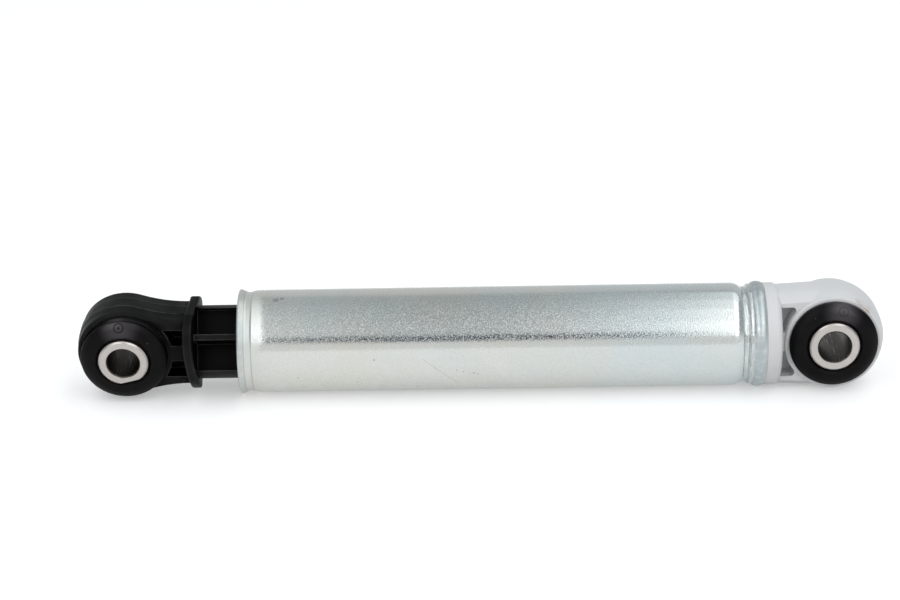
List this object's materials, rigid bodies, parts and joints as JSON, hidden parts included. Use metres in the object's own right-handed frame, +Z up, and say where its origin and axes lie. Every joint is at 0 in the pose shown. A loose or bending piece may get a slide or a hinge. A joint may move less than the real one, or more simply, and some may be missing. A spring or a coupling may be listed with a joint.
{
  "type": "washing machine shock absorber",
  "caption": "Tubular friction damper: plated steel tube with a grey moulded eye, black ribbed plunger sliding in it, and a rubber bush with a steel sleeve in each eye.",
  "frame": {"origin": "centre of the bolt hole through the sleeve in the tube's grey eye", "axes": "+X along the tube from the plunger towards the grey eye, +Y along the bolt hole of the grey eye, +Z up as it lies on its side"},
  "size_m": [0.2033, 0.0266, 0.0266],
  "materials": {
    "plated_steel": "bright zinc plating with a fine grain",
    "grey_plastic": "satin moulded",
    "black_plastic": "satin moulded, glass filled",
    "bush_rubber": "moulded rubber",
    "sleeve_steel": "cut and plated",
    "guide_plastic": "moulded",
    "lining_foam": "greased foam strip"
  },
  "bodies": {
    "tube": {"damper_tube": "plated_steel", "tube_end_eye": "grey_plastic", "tube_eye_bush": "bush_rubber", "guide_bush": "guide_plastic"},
    "lining": {"friction_lining": "lining_foam"},
    "plunger": {"plunger": "black_plastic", "plunger_eye_bush": "bush_rubber"},
    "plunger_sleeve": {"plunger_eye_sleeve": "sleeve_steel"},
    "tube_sleeve": {"tube_eye_sleeve": "sleeve_steel"}
  },
  "joints": [
    {"name": "plunger_slide", "type": "slide", "parent": "tube", "child": "lining", "axis": [1, 0, 0], "range_m": [-0.079, 0.0098]},
    {"name": "plunger_twist", "type": "hinge", "parent": "lining", "child": "plunger", "pos_m": [-0.178, 0, 0], "axis": [1, 0, 0], "continuous": true},
    {"name": "plunger_sleeve_turn", "type": "hinge", "parent": "plunger", "child": "plunger_sleeve", "pos_m": [-0.178, 0, 0], "axis": [0, 0.9883, 0.1525], "range_deg": [-15, 15], "stiffness_Nm_per_rad": 1},
    {"name": "tube_sleeve_turn", "type": "hinge", "parent": "tube", "child": "tube_sleeve", "pos_m": [0, 0, 0], "axis": [0, 1, 0], "range_deg": [-15, 15], "stiffness_Nm_per_rad": 1}
  ]
}
